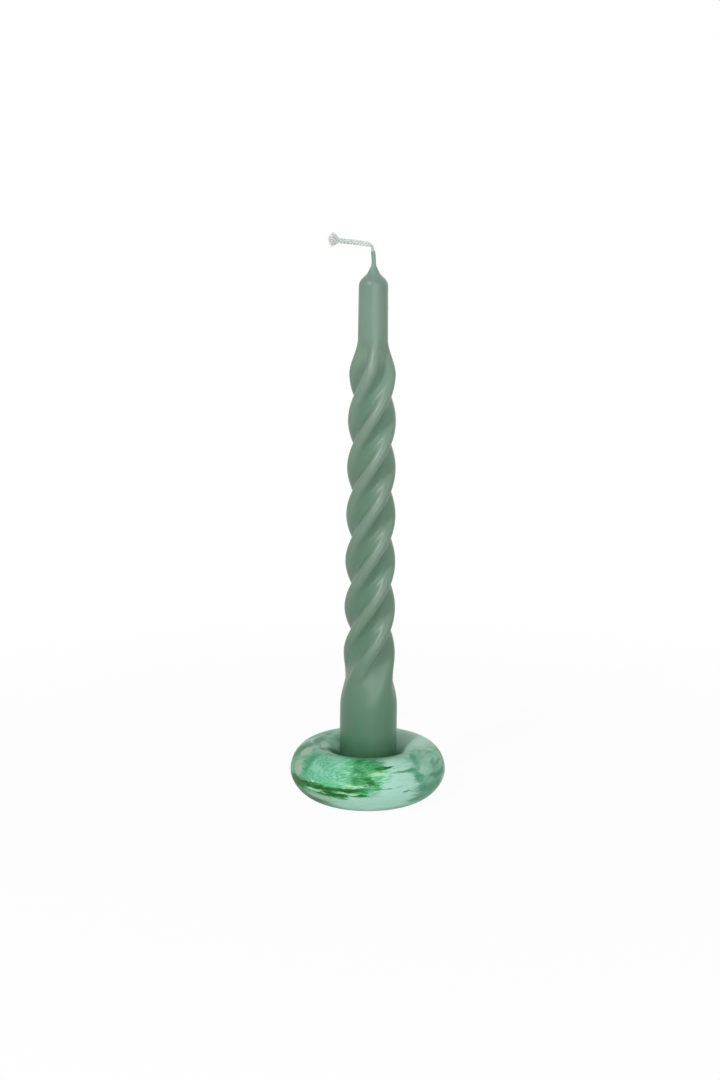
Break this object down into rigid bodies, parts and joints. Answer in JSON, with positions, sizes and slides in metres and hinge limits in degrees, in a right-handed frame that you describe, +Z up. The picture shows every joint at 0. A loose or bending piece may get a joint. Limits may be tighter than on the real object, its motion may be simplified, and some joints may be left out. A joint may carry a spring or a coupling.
{
  "type": "twisted taper candle with ring holder",
  "caption": "Tall twisted taper candle with a round foot, slim plain top and bent wick, standing in a low marbled ring holder.",
  "frame": {"origin": "centre of the ring holder's flat foot, on the surface that it stands on", "axes": "+Z up along the candle; the wick's free end points along -X; the picture looks along +Y"},
  "size_m": [0.0594, 0.0594, 0.211],
  "materials": {
    "marbled_plastic": "satin",
    "plain_wax": "satin",
    "green_wax": "satin",
    "waxed_braid": "satin",
    "bare_braid": "matte"
  },
  "bodies": {
    "holder": {"ring_holder": "marbled_plastic"},
    "candle": {"wax_core": "plain_wax", "colour_coat": "green_wax", "wick": "waxed_braid"},
    "wick_tip": {"wick_free_end": "bare_braid"}
  },
  "joints": [
    {"name": "candle_lift", "type": "slide", "parent": "holder", "child": "candle", "axis": [0, 0, 1], "range_m": [0, 0.03]},
    {"name": "wick_bend", "type": "hinge", "parent": "candle", "child": "wick_tip", "pos_m": [0.00143, 0, 0.20711], "axis": [0, 1, 0], "range_deg": [0, 85]}
  ]
}
